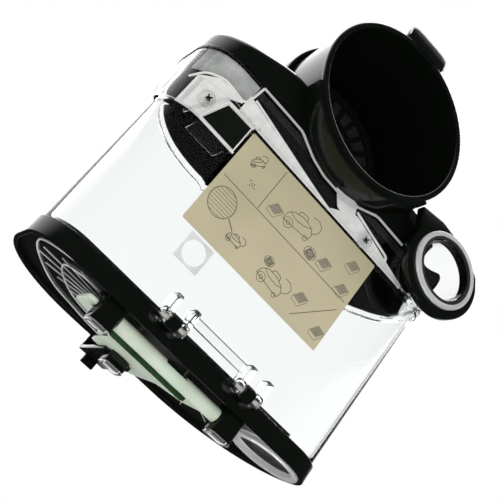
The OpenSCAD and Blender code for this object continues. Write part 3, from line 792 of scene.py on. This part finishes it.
# The intake screen: a row of dark moulded slats in two rims, clipped across the
# housing's window, which keeps coarse dust in the tank.
def tree(name, **inputs):
    """A Geometry Nodes tree with a geometry in, a geometry out and named inputs."""
    group = bpy.data.node_groups.new(name, "GeometryNodeTree")
    group.interface.new_socket("Geometry", in_out="INPUT", socket_type="NodeSocketGeometry")
    group.interface.new_socket("Geometry", in_out="OUTPUT", socket_type="NodeSocketGeometry")
    for key, kind in inputs.items():
        group.interface.new_socket(key, in_out="INPUT", socket_type="NodeSocket" + kind)
    return group, group.nodes.new("NodeGroupInput").outputs


def grow(group, kind, settings=None, **sockets):
    """One node of a tree, whose inputs are values or the outputs of other nodes."""
    node = group.nodes.new(kind)
    for key, value in (settings or {}).items():
        setattr(node, key, value)
    for key, value in sockets.items():
        socket = node.inputs[key.replace("_", " ")]
        if isinstance(value, bpy.types.NodeSocket):
            group.links.new(value, socket)
        else:
            socket.default_value = value
    return node.outputs


def ending(group, instances, material):
    """Ends a tree: its instances are made real and get their material."""
    real = grow(group, "GeometryNodeRealizeInstances", Geometry=instances)
    painted = grow(group, "GeometryNodeSetMaterial", Geometry=real["Geometry"], Material=material)
    group.links.new(painted["Geometry"], group.nodes.new("NodeGroupOutput").inputs["Geometry"])


def grown(name, group, at, start=(), **values):
    """The plain mesh that a tree gives for its inputs, placed by at, as a new object."""
    source = bpy.data.meshes.new(name + "_points")
    source.from_pydata([tuple(p) for p in start], [], [])
    holder = bpy.data.objects.new(name + "_points", source)
    bpy.context.scene.collection.objects.link(holder)
    modifier = holder.modifiers.new("grow", "NODES")
    modifier.node_group = group
    for item in group.interface.items_tree:
        if item.in_out == "INPUT" and item.name in values:
            modifier[item.identifier] = values[item.name]
    mesh = bpy.data.meshes.new_from_object(holder.evaluated_get(bpy.context.evaluated_depsgraph_get()))
    bpy.data.objects.remove(holder)
    mesh.transform(Matrix.Translation(middle) @ Matrix.Scale(mm, 4) @ at)
    return bpy.data.objects.new(name, mesh)


dark_plastic = shader("dark_plastic", (0.008, 0.009, 0.008), 0.4)
polish(dark_plastic, 5, 4, 0.32, 0.5)
relief(dark_plastic, 0.5, 2, 0.02, 0.5)

slats, size = tree("slats", Count="Int", Step="Float", Bar="Vector", Material="Material")
offset = grow(slats, "ShaderNodeCombineXYZ", X=size["Step"])
row = grow(slats, "GeometryNodeMeshLine", Count=size["Count"], Offset=offset["Vector"])
bar = grow(slats, "GeometryNodeMeshCube", Size=size["Bar"])
placed_bars = grow(slats, "GeometryNodeInstanceOnPoints", Points=row["Mesh"], Instance=bar["Mesh"])
ending(slats, placed_bars["Instances"], size["Material"])
slat_count, slat_step, screen_mid = 14, 4.5, -98.5
screen_at = mouth_at @ Matrix.Translation((-(slat_count - 1) * slat_step / 2, -61, screen_mid))
handed(grown("screen_slats", slats, screen_at, Count=slat_count, Step=slat_step, Bar=(2.1, 1.4, 5.4),
             Material=dark_plastic), dark_plastic, "container", "dark_plastic")
strip = [(r * cos(radians(a)), r * sin(radians(a)))
         for r, turns in ((62.1, range(-121, -58, 3)), (63.3, range(-59, -122, -3))) for a in turns]
made("screen_rim", [block(strip, mouth_at, low, low + 1.3, 0.2) for low in (-102.5, -95.8)],
     dark_plastic, "container", "dark_plastic", "intake_screen")


# The inlet's flange: a glossy black plate with a straight upper edge that the clear
# tube passes through, and the arm that ties it to the frame.
flange_r, flange_back, flange_face, arm_back = 31, -9, -3, -20
flange_arc = [(flange_r * cos(radians(a)), flange_r * sin(radians(a))) for a in range(-198, 19, 6)]
flange_outline = rounded(flange_arc + [(25, 18), (8, 27), (-16, 29), (-35, 25)], 1.5, 2)
arm_outline = rounded([(-24, -2), (-35, 25), (-16, 29), (8, 27), (20, 10)], 1.5, 2)
frame_room = brick((0, front_y, 100), (150, 80, frame_z), 0.1)
flange_parts = [less([block(flange_outline, inlet_at, flange_back, flange_face, 0.8)], [tube_room]),
                less([block(arm_outline, inlet_at, arm_back, flange_back + 0.5, 0.8)],
                     [tube_room, cup_room, frame_room])]
made("inlet_flange_shell", flange_parts, gloss_black, "container", "black_gloss", "inlet_flange")


# The screws that hold the frame in the tank: steel pan heads with a cross recess,
# driven through the collar's two round pads.
steel = shader("bright_steel", (0.62, 0.61, 0.58), 0.25, Metallic=1.0)
polish(steel, 1.5, 4, 0.18, 0.4)
relief(steel, 0.3, 2, 0.01, 0.4)


def joined(group, *pieces):
    """Several geometries of a tree as one."""
    node = group.nodes.new("GeometryNodeJoinGeometry")
    for piece in pieces:
        group.links.new(piece, node.inputs["Geometry"])
    return node.outputs["Geometry"]


fixings, size = tree("cross_screws", Head="Float", Rise="Float", Slot="Vector", Shank="Float", Length="Float",
                     Material="Material")
head = grow(fixings, "GeometryNodeMeshCylinder", Vertices=32, Radius=size["Head"], Depth=size["Rise"])
slot_one = grow(fixings, "GeometryNodeMeshCube", Size=size["Slot"])
slot_two = grow(fixings, "GeometryNodeTransform", Geometry=slot_one["Mesh"], Rotation=(0, 0, pi / 2))
lifted = grow(fixings, "ShaderNodeVectorMath", {"operation": "SCALE"}, Vector=(0, 0, 0.5), Scale=size["Rise"])
cross = joined(fixings, slot_one["Mesh"], slot_two["Geometry"])
cross = grow(fixings, "GeometryNodeTransform", Geometry=cross, Translation=lifted["Vector"],
             Rotation=(0, 0, pi / 4))
recessed = grow(fixings, "GeometryNodeMeshBoolean", {"operation": "DIFFERENCE"}, Mesh_1=head["Mesh"],
                Mesh_2=cross["Geometry"])
sunk = grow(fixings, "ShaderNodeVectorMath", {"operation": "SCALE"}, Vector=(0, 0, -0.5), Scale=size["Length"])
shank = grow(fixings, "GeometryNodeMeshCylinder", Vertices=20, Radius=size["Shank"], Depth=size["Length"])
shank = grow(fixings, "GeometryNodeTransform", Geometry=shank["Mesh"], Translation=sunk["Vector"])
placed_screws = grow(fixings, "GeometryNodeInstanceOnPoints", Points=size["Geometry"],
                     Instance=joined(fixings, recessed["Mesh"], shank["Geometry"]))
ending(fixings, placed_screws["Instances"], size["Material"])
handed(grown("frame_screw_heads", fixings, along_front(0, 0), [(x, z, 56.8) for x, z in screws], Head=3.5,
             Rise=2.0, Slot=(4.6, 0.9, 1.6), Shank=1.45, Length=12.5, Material=steel),
       steel, "container", "steel_screw", "frame_screws", crease=30)


# The inlet: a clear tube with a milky clear lip, which the hose elbow pushes into.
# The tube is held in the flange, and the lip is pressed on its end.
tube_bore, lip_r = 19.5, 25.5
tube_wall = rounded([(tube_bore, -1.5), (tube_bore, -tube_len), (tube_r, -tube_len), (tube_r, -1.5)], 0.6, 2)
made("inlet_tube_clear", [turned(tube_wall, inlet_at)], water_clear, "container", "clear_plastic",
     "inlet_tube")
milky = shader("milky_clear_plastic", (0.93, 0.94, 0.93), 0.12, Transmission_Weight=0.55, IOR=1.4)
polish(milky, 9, 3, 0.08, 0.2)
lip_wall = rounded([(tube_r + 0.05, 0), (tube_r + 0.05, -3), (lip_r, -3), (lip_r, 0)], 1.1, 4)
made("inlet_lip_clear", [turned(lip_wall, inlet_at)], milky, "container", "clear_plastic", "inlet_lip")


# The bottom lid: a glossy black tray with a skirt, a plate stiffened by ribs whose light grey colour is a
# painted highlight, and two knuckles on the hinge; the suction duct's port opens in its right end.
port = (cover_w / 2 - 28, front_y + 28)
plate_z, plate_t, skirt_t, lip_in, lip_out = rim_z + 3, 3, 3, 6.9, 4.9
lip_hole_r, plate_hole_r = 24, 23


def skirt_cut(x, y):
    """The skirt round the lid's edge."""
    return rounded([(-skirt_t, rim_z), (0, rim_z), (0, lid_top_z), (-skirt_t, lid_top_z)], 0.9, 3)


def lip_cut(x, y):
    """The inner lip that stands inside the tank's wall and holds the gasket."""
    low, top = plate_z + 1, lid_top_z + 3
    return rounded([(-lip_in, low), (-lip_out, low), (-lip_out, top), (-lip_in, top)], 0.5, 2)


def plate_rings():
    """The lid's plate, from the skirt in to the middle line and back."""
    rings = []
    for x, y, nx, ny in plan:
        rim = Vector((x - 2.5 * nx, y - 2.5 * ny, 0))
        low = [rim.lerp(spine_at(x), share) for share in (0, 0.5, 1)]
        rings.append([(p.x, p.y, plate_z) for p in low]
                     + [(p.x, p.y, plate_z + plate_t) for p in reversed(low)])
    return rings


port_at = Matrix.Translation((port[0], port[1], 0))
lid_parts = [swept(skirt_cut), less([swept(lip_cut)], [disc(lip_hole_r, port_at, 0, 60, 0.1)]),
             less([lofted(plate_rings())], [disc(plate_hole_r, port_at, 0, 60, 0.1)])]
for x in knuckles:
    lid_parts.append(disc(knuckle_r, along_x(x, hinge_y, hinge_z), -knuckle_w / 2, knuckle_w / 2, 0.8))
    lid_parts.append(brick((x - knuckle_w / 2, hinge_y, hinge_z - knuckle_r + 0.4),
                           (x + knuckle_w / 2, front_y + 0.5, lid_top_z - 0.5), 0.5))


def rib(points, radius, z, at=Matrix(), steps=8):
    """A round bar along (x, y) points at one height."""
    rings = []
    for i, p in enumerate(points):
        run = heading(points, i)
        side = Vector((-run.y, run.x, 0))
        rings.append([at @ (Vector((p[0], p[1], z)) + radius * (side * cos(2 * pi * k / steps)
                            + Vector((0, 0, 1)) * sin(2 * pi * k / steps))) for k in range(steps)])
    return lofted(rings, closed=False)


def spoke_ribs(centre, turns, near, far, radius=0.28):
    """Straight ribs that fan out from a point; far(turn) is where each one ends."""
    ways = [(turn, Vector((cos(radians(turn)), sin(radians(turn))))) for turn in turns]
    return [rib([centre + way * near, centre + way * far(turn)], radius, plate_z - 0.2) for turn, way in ways]


outer_loop = [(-56, -50), (-84, -47), (-104, -33), (-101, -14), (-88, 10), (-71, 31), (-53, 38), (-27, 48),
              (20, 46)]
inner_loop = [(-60, -34), (-73, -34), (-84, -26), (-81, -12), (-73, 2), (-60, 19), (-30, 30), (10, 30)]
ribs = [rib(eased_path(loop, 14, 3), radius, plate_z - 0.5)
        for loop, radius in ((outer_loop, 0.6), (inner_loop, 0.55))]
ribs += spoke_ribs(Vector((-30, -14)), range(140, 216, 11), 22, lambda turn: 72 - abs(turn - 178) * 0.75)
ribs += spoke_ribs(Vector((20, -18)), (25, 45, 65, 85), 26, lambda turn: 58)
ribs.append(rib([(-76, -50.4), (56, -50.4)], 0.4, plate_z - 0.4))
ribs += [rib([(x - 1.5, -52), (x + 1.5, -47)], 0.5, plate_z - 0.6) for x in (-62, -26, -3, 15)]
# The ribs' light grey colour is a painted highlight on their rounded edges, varied by a grain.
rib_painted_highlight = shader("rib_painted_highlight_grey", (0.42, 0.43, 0.41), 0.3)
tint(rib_painted_highlight, 18, 3, (0.45, 0.46, 0.45), (0.85, 0.86, 0.84))
made("lid_ribs_painted_highlight", ribs, rib_painted_highlight, "lid", "black_gloss")
made("bottom_lid_shell", lid_parts, gloss_black, "lid", "black_gloss", "bottom_lid")


# The port for the suction duct: a milky clear collar pressed in from outside and a
# dark sleeve that goes on up inside, whose smoky darkness is painted shade in the bore.
port_bore, port_r, sleeve_r = 20, 24.5, 22.9
# The sleeve's dark smoky tint is painted shade inside the port's bore.
port_bore_painted_shade = shader("smoky_plastic", (0.16, 0.17, 0.16), 0.12, Transmission_Weight=0.75, IOR=1.45)
polish(port_bore_painted_shade, 7, 3, 0.08, 0.2)
port_collar = rounded([(port_bore, rim_z - 1), (port_bore, rim_z + 3), (port_r, rim_z + 3),
                       (port_r, rim_z - 1)], 0.9, 3)
port_sleeve = rounded([(port_bore, rim_z + 3.1), (port_bore, rim_z + 10), (sleeve_r, rim_z + 10),
                       (sleeve_r, rim_z + 3.1)], 0.4, 3)
made("port_ring_clear", [turned(port_collar, port_at)], milky, "lid", "clear_plastic")
made("port_sleeve_painted_shade", [turned(port_sleeve, port_at)], port_bore_painted_shade, "lid", "smoky_plastic", "port_ring")


# The front feet: black blocks with cut corners, moulded on the lid, that carry the
# pivot rod; each has a clear pad under it.
foot_x, foot_y, foot_w, foot_d, rod_z, rod_hole_r, pad_t = (-52, 43), -44.6, 15, 14, 10, 2.05, 1.3


def cut_block(width, depth, cut):
    """The outline of a block with its upright corners cut off."""
    w, d = width / 2, depth / 2
    return [(-w + cut, -d), (w - cut, -d), (w, -d + cut), (w, d - cut), (w - cut, d), (-w + cut, d),
            (-w, d - cut), (-w, -d + cut)]


def foot_block(at, top):
    """A foot above its pad."""
    return block(rounded(cut_block(foot_w - 0.3, foot_d - 0.3, 2), 0.8, 2), at, pad_t + 0.05, top, 0.5)


def hollow_pad(at):
    """A clear frame under a foot."""
    inner = block(rounded(cut_block(foot_w - 4, foot_d - 4, 1.5), 0.5, 2), at, -1, 2, 0.1)
    return less([block(rounded(cut_block(foot_w, foot_d, 2), 0.6, 2), at, 0, pad_t, 0.3)], [inner])


feet, pads = [], []
for x in foot_x:
    foot_at = Matrix.Translation((x, foot_y, 0))
    feet.append(less([foot_block(foot_at, plate_z - 0.05)],
                     [disc(rod_hole_r, along_x(x, foot_y, rod_z), -10, 10, 0.1)]))
    pads.append(hollow_pad(foot_at))
made("front_feet_blocks", feet, gloss_black, "lid", "dark_plastic", "front_feet")
made("front_foot_pads", pads, water_clear, "lid", "clear_plastic")


# The lever's torsion spring: a coil of steel wire on the pivot rod, with one leg
# against the lid and one against the lever.
spring_x, spring_r, wire_r = -7, 3.5, 0.6
coil, size = tree("coil_spring", Turns="Float", Radius="Float", Length="Float", Wire="Float",
                  Material="Material")
helix = grow(coil, "GeometryNodeCurveSpiral", Resolution=32, Rotations=size["Turns"],
             Start_Radius=size["Radius"], End_Radius=size["Radius"], Height=size["Length"])
wire = grow(coil, "GeometryNodeCurvePrimitiveCircle", Resolution=10, Radius=size["Wire"])
wound = grow(coil, "GeometryNodeCurveToMesh", Curve=helix["Curve"], Profile_Curve=wire["Curve"],
             Fill_Caps=True)
ending(coil, wound["Mesh"], size["Material"])
handed(grown("spring_coil", coil, along_x(spring_x, foot_y, rod_z), Turns=8.0, Radius=spring_r, Length=10.6,
             Wire=wire_r, Material=steel), steel, "lid", "steel_pin", "lever_spring")
made("spring_legs", [disc(wire_r, along_front(spring_x, rod_z - spring_r, foot_y + 9), -9, 9, 0.2, 16),
                     disc(wire_r, Matrix.Translation((3.6, foot_y - spring_r, rod_z)), 0, 8.6, 0.2, 16)],
     steel, "lid", "steel_pin")


# The release lever: a pale green plate whose rolled front edge turns on the rod, with
# two ribs under it whose dark green is painted shade.
pale_green = shader("pale_green_plastic", (0.66, 0.74, 0.62), 0.3, Subsurface_Weight=0.25,
                    Subsurface_Scale=2 * mm)
tint(pale_green, 25, 2, (0.72, 0.79, 0.68), (0.58, 0.68, 0.54))
relief(pale_green, 1.0, 2, 0.02, 0.4)
roll_left, roll_right, roll_r, roll_bore = -44.1, 35.1, 4.5, 2.06
roll_at = along_x(0, foot_y, rod_z)
lever_parts = [turned(rounded([(roll_bore, a), (roll_bore, b), (roll_r, b), (roll_r, a)], 0.5, 3), roll_at, 48)
               for a, b in ((roll_left, -9), (7, roll_right))]
lever_parts.append(turned([(4.25, -9.2), (4.6, -9.2), (4.6, 7.2), (4.25, 7.2)], roll_at,
                          angles=[radians(100 - 12 * k) for k in range(19)]))
behind_y, ear_x = foot_y + foot_d / 2 + 0.4, foot_x[0] - foot_w / 2 - 0.4
hook_x, grip_y, lever_half = -15, 11, 1.2
plate = [(roll_left, foot_y + 3), (roll_right, foot_y + 3), (roll_right, behind_y),
         (roll_right - 10, behind_y + 22), (hook_x + 24, behind_y + 33), (hook_x + 17, grip_y + 15),
         (hook_x - 17, grip_y + 15), (hook_x - 20, behind_y + 26), (ear_x - 7, behind_y + 12),
         (ear_x - 7, foot_y - 4), (ear_x, foot_y - 4), (ear_x, behind_y), (roll_left, behind_y)]
lever_parts.append(block(rounded(plate, 2.5, 3), Matrix(), rod_z - lever_half, rod_z + lever_half, 0.4))
made("release_lever_plate", lever_parts, pale_green, "lever", "pale_green_plastic", "release_lever")
# The ribs' dark green is painted shade under the lever's rolled edge, varied by a grain.
lever_rib_painted_shade = shader("lever_rib_painted_shade_green", (0.02, 0.06, 0.02), 0.25)
tint(lever_rib_painted_shade, 12, 2, (0.025, 0.075, 0.025), (0.012, 0.04, 0.014))
made("lever_ribs_painted_shade", [brick((-44, foot_y + 1.5, 3.6), (15, foot_y + 7.5, rod_z - 1.1), 0.8),
                    brick((-40, foot_y + 11.6, 6.4), (11, foot_y + 13.2, rod_z - 1.1), 0.6)],
     lever_rib_painted_shade, "lever", "pale_green_plastic")


# The latch hook: a black grip under the lever, a tongue that reaches the catch, and a
# plate with a narrow pull at its end. Two screws hold it to the lever.
hook_y, hook_t, hook_half, pull_half, under = back_y + 1.2, 2.4, 11, 5, rod_z - lever_half
hook_left, hook_right, hook_back = hook_x - hook_half, hook_x + hook_half, hook_y + hook_t
grip_at = Matrix.Translation((hook_x, grip_y, 0))
hook_parts = [foot_block(grip_at, under),
              brick((hook_left, grip_y, under - 3), (hook_right, hook_back - 0.2, under - 0.02), 0.6),
              brick((hook_left, hook_y - 0.4, under - 3), (hook_right, hook_back, lid_top_z - 4), 0.7),
              brick((hook_x - pull_half, hook_y - 0.4, 0),
                    (hook_x + pull_half, hook_back - 0.1, under - 2), 0.7)]
made("latch_hook_body", hook_parts, gloss_black, "lever", "black_gloss", "latch_hook")
made("grip_pad", [hollow_pad(grip_at)], water_clear, "lever", "clear_plastic")
hook_screws = [(hook_x + dx, grip_y + 11, rod_z + 1.9) for dx in (-6, 6)]
handed(grown("hook_screw_heads", fixings, Matrix(), hook_screws, Head=2.4, Rise=1.4,
             Slot=(3.0, 0.6, 1.2), Shank=1.15, Length=5.5, Material=steel),
       steel, "lever", "steel_screw", "hook_screws", crease=30)


# The filter cup: a deep glossy black tub with a rolled lip and a pull tab; it slides
# into the housing. A pale ridge runs round the tab, and its colour is a painted highlight on the tab's edge.
cup_r, cup_len, cup_wall, lip_t = 58.5, 94, 3, 1.2
cup_profile = rounded([(cup_r, -3), (cup_r, -cup_len), (cup_r * 0.6, -cup_len),
                       (cup_r * 0.6, -cup_len + cup_wall), (cup_r - cup_wall, -cup_len + cup_wall),
                       (cup_r - cup_wall, 0), (cup_r + lip_t, 0), (cup_r + lip_t, -3)], 1.3, 4)
tab_half, tab_top, tab_corner = 18, cup_r + 12, 9
tab_at = mouth_at @ Matrix.Rotation(radians(4), 4, "Z")
tab = rounded([(-tab_half, cup_r - 3), (tab_half, cup_r - 3), (tab_half, tab_top), (-tab_half, tab_top)],
              tab_corner, 6)
made("filter_cup_shell", [turned(cup_profile, mouth_at, 160), block(tab, tab_at, -4, 0, 1.2)],
     gloss_black, "cup", "black_gloss", "filter_cup")
# The pale ridge round the tab is a painted highlight on its edge.
edge_half, edge_top = tab_half - 0.6, tab_top - 0.6
tab_line = rounded([(-edge_half, cup_r + 1.8), (-edge_half, edge_top), (edge_half, edge_top),
                    (edge_half, cup_r + 1.8)], tab_corner, 6, closed=False)
made("pull_tab_painted_highlight", [rib(tab_line, 0.7, -0.3, tab_at)], frosted_and_painted_highlight, "cup", "frosted_badge")


# The filter pack in the cup: an open-cell foam disc, cut a little unevenly, under a
# slotted grille with a finger grip.
filter_r, foam_low, foam_t, grille_t = 54, -cup_len + cup_wall, 12, 2
foam_black = shader("filter_foam", (0.03, 0.035, 0.033), 0.95)
tint(foam_black, 1.2, 5, (0.045, 0.05, 0.048), (0.01, 0.012, 0.011))
relief(foam_black, 0.9, 4, 0.4, 1.0)
foam_rings = []
for k in range(120):
    a = 2 * pi * k / 120
    rim = 0.35 * sin(7 * a) + 0.25 * sin(13 * a + 1)
    outline = [(1, foam_low + 0.2)] + [(r, foam_low + 0.2) for r in (20, 40, 52)]
    outline += [(53.2 + 0.3 * rim, foam_low + 1.5), (53.4 + rim * 0.5, foam_low + 6),
                (53.2 + 0.3 * rim, foam_low + 10.5)]
    outline += [(r, foam_low + foam_t - 0.2 + 0.12 * sin(5 * a + r)) for r in (52, 40, 20, 1)]
    foam_rings.append([mouth_at @ Vector((r * cos(a), r * sin(a), h)) for r, h in outline])
foam_piece = made("foam_filter_disc", [lofted(foam_rings)], foam_black, "filter_pack", "filter_foam",
                  "foam_filter", crease=60)
grip_low = foam_low + foam_t + grille_t
grille_at = mouth_at @ Matrix.Translation((0, 0, foam_low + foam_t + grille_t / 2))
spokes, size = tree("grille_spokes", Count="Int", Radius="Float", Bar="Vector", Material="Material")
circle = grow(spokes, "GeometryNodeMeshCircle", Vertices=size["Count"], Radius=size["Radius"])
outwards = grow(spokes, "FunctionNodeAlignRotationToVector", {"axis": "X"},
                Vector=grow(spokes, "GeometryNodeInputPosition")["Position"])
spoke = grow(spokes, "GeometryNodeMeshCube", Size=size["Bar"])
placed_spokes = grow(spokes, "GeometryNodeInstanceOnPoints", Points=circle["Mesh"], Instance=spoke["Mesh"],
                     Rotation=outwards["Rotation"])
ending(spokes, placed_spokes["Instances"], size["Material"])
spoke_count, spoke_mid, spoke_size = 24, 33.0, (30.0, 3.4, 1.8)
handed(grown("grille_spokes", spokes, grille_at, Count=spoke_count, Radius=spoke_mid, Bar=spoke_size,
             Material=dark_plastic),
       dark_plastic, "filter_pack", "dark_plastic", "cup_grille")
made("grille_rings", [turned(rounded([(r0, -1), (r1, -1), (r1, 1), (r0, 1)], 0.4, 2), grille_at, 96)
                      for r0, r1 in ((47.5, filter_r), (31.8, 34.2), (1, 18.9))],
     dark_plastic, "filter_pack", "dark_plastic")
knob_r, knob_t, fin_w, fin_t, fin_top = 8, 3, 12, 2.4, grip_low + 8
made("grille_grip_knob", [disc(knob_r, mouth_at, grip_low, grip_low + knob_t, 0.7),
                          block(rounded(oblong(fin_w, fin_t), 0.8, 3), mouth_at, grip_low + knob_t - 0.2,
                                fin_top, 0.5)],
     dark_plastic, "filter_pack", "dark_plastic", "grille_grip")


# The seals are soft black rubber and the pins are ground steel; their shapes are
# simple rings and rods.
rubber = shader("seal_rubber", (0.02, 0.02, 0.02), 0.7)
polish(rubber, 2.5, 4, 0.6, 0.85)
relief(rubber, 0.6, 3, 0.05, 0.5)
for finish, nodes in ((rubber, ("frame_gasket", "inlet_seal", "lid_gasket", "port_seal", "cup_seal")),
                      (steel, ("hinge_pins", "pivot_rod"))):
    for node in nodes:
        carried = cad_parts[node]
        carried.data.materials.clear()
        carried.data.materials.append(finish)
